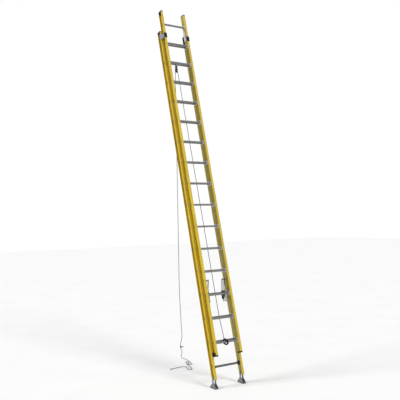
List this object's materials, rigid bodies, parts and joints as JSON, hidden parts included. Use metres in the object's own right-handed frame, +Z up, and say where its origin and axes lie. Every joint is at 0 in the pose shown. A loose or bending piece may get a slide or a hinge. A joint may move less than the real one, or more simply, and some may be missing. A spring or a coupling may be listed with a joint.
{
  "type": "extension ladder",
  "caption": "Two-section fibreglass extension ladder leaning at its working angle, fly raised one rung, with rung locks, haul rope and swivelling shoes.",
  "frame": {"origin": "on the floor, midway between the side rails, where the base rails' centre plane meets it", "axes": "+X along the rungs, +Y towards the wall the ladder leans on, +Z up; the rails lean 14.5 degrees from plumb in the YZ plane"},
  "size_m": [0.4772, 1.442, 5.1835],
  "materials": {
    "rail_fibreglass": "satin moulded fibreglass",
    "aluminium": "extruded",
    "lock_casting": "cast",
    "zinc_steel": "zinc plated",
    "black_plastic": "moulded",
    "rubber": "ribbed",
    "rope_fibre": "braided"
  },
  "bodies": {
    "base_section": {"base_rail_left": "rail_fibreglass", "base_rail_right": "rail_fibreglass", "base_rung_01": "aluminium", "base_rung_02": "aluminium", "base_rung_03": "aluminium", "base_rung_04": "aluminium", "base_rung_05": "aluminium", "base_rung_06": "aluminium", "base_rung_07": "aluminium", "base_rung_08": "aluminium", "base_rung_09": "aluminium", "base_rung_10": "aluminium", "base_rung_11": "aluminium", "base_rung_12": "aluminium", "base_rung_13": "aluminium", "base_rung_14": "aluminium", "base_rung_15": "aluminium", "base_rung_16": "aluminium", "top_guide_left": "aluminium", "top_guide_right": "aluminium", "guide_pad_left": "black_plastic", "guide_pad_right": "black_plastic", "shoe_bolt_left": "zinc_steel", "shoe_bolt_right": "zinc_steel", "pulley_strap": "zinc_steel", "rope_haul_run": "rope_fibre", "rope_free_run": "rope_fibre"},
    "fly_section": {"fly_rail_left": "rail_fibreglass", "fly_rail_right": "rail_fibreglass", "fly_rung_01": "aluminium", "fly_rung_02": "aluminium", "fly_rung_03": "aluminium", "fly_rung_04": "aluminium", "fly_rung_05": "aluminium", "fly_rung_06": "aluminium", "fly_rung_07": "aluminium", "fly_rung_08": "aluminium", "fly_rung_09": "aluminium", "fly_rung_10": "aluminium", "fly_rung_11": "aluminium", "fly_rung_12": "aluminium", "fly_rung_13": "aluminium", "fly_rung_14": "aluminium", "fly_rung_15": "aluminium", "fly_rung_16": "aluminium", "fly_cap_left": "black_plastic", "fly_cap_right": "black_plastic", "fly_foot_left": "black_plastic", "fly_foot_right": "black_plastic"},
    "shoe_left_body": {"shoe_left": "aluminium", "shoe_pad_left": "rubber"},
    "lock_left_body": {"lock_left": "lock_casting"},
    "finger_left_body": {"lock_finger_left": "black_plastic"},
    "shoe_right_body": {"shoe_right": "aluminium", "shoe_pad_right": "rubber"},
    "lock_right_body": {"lock_right": "lock_casting"},
    "finger_right_body": {"lock_finger_right": "black_plastic"},
    "pulley_body": {"pulley_block": "zinc_steel"},
    "sheave_body": {"pulley_sheave": "black_plastic", "pulley_axle": "zinc_steel"}
  },
  "joints": [
    {"name": "fly_slide", "type": "slide", "parent": "base_section", "child": "fly_section", "axis": [0, 0.2504, 0.9681], "range_m": [0, 3.6576], "deforming": ["rope_haul_run"]},
    {"name": "shoe_left_pivot", "type": "hinge", "parent": "base_section", "child": "shoe_left_body", "pos_m": [-0.212, 0.03756, 0.14522], "axis": [1, 0, 0], "range_deg": [-90, 30]},
    {"name": "lock_left_swing", "type": "hinge", "parent": "fly_section", "child": "lock_left_body", "pos_m": [-0.129, 0.27418, 1.31979], "axis": [1, 0, 0], "range_deg": [-8, 0], "stiffness_Nm_per_rad": 0.4, "springref_deg": 22.92},
    {"name": "finger_left_flip", "type": "hinge", "parent": "lock_left_body", "child": "finger_left_body", "pos_m": [-0.129, 0.26574, 1.11539], "axis": [1, 0, 0], "range_deg": [-60, 0], "stiffness_Nm_per_rad": 0.05, "springref_deg": 22.92},
    {"name": "shoe_right_pivot", "type": "hinge", "parent": "base_section", "child": "shoe_right_body", "pos_m": [0.212, 0.03756, 0.14522], "axis": [1, 0, 0], "range_deg": [-90, 30]},
    {"name": "lock_right_swing", "type": "hinge", "parent": "fly_section", "child": "lock_right_body", "pos_m": [0.129, 0.27418, 1.31979], "axis": [1, 0, 0], "range_deg": [-8, 0], "stiffness_Nm_per_rad": 0.4, "springref_deg": 22.92},
    {"name": "finger_right_flip", "type": "hinge", "parent": "lock_right_body", "child": "finger_right_body", "pos_m": [0.129, 0.26574, 1.11539], "axis": [1, 0, 0], "range_deg": [-60, 0], "stiffness_Nm_per_rad": 0.05, "springref_deg": 22.92},
    {"name": "pulley_swing", "type": "hinge", "parent": "base_section", "child": "pulley_body", "pos_m": [-0.025, 1.11802, 4.35293], "axis": [1, 0, 0], "range_deg": [-6, 6], "deforming": ["rope_free_run", "rope_haul_run"]},
    {"name": "sheave_spin", "type": "hinge", "parent": "pulley_body", "child": "sheave_body", "pos_m": [-0.025, 1.11802, 4.30093], "axis": [1, 0, 0], "continuous": true}
  ]
}
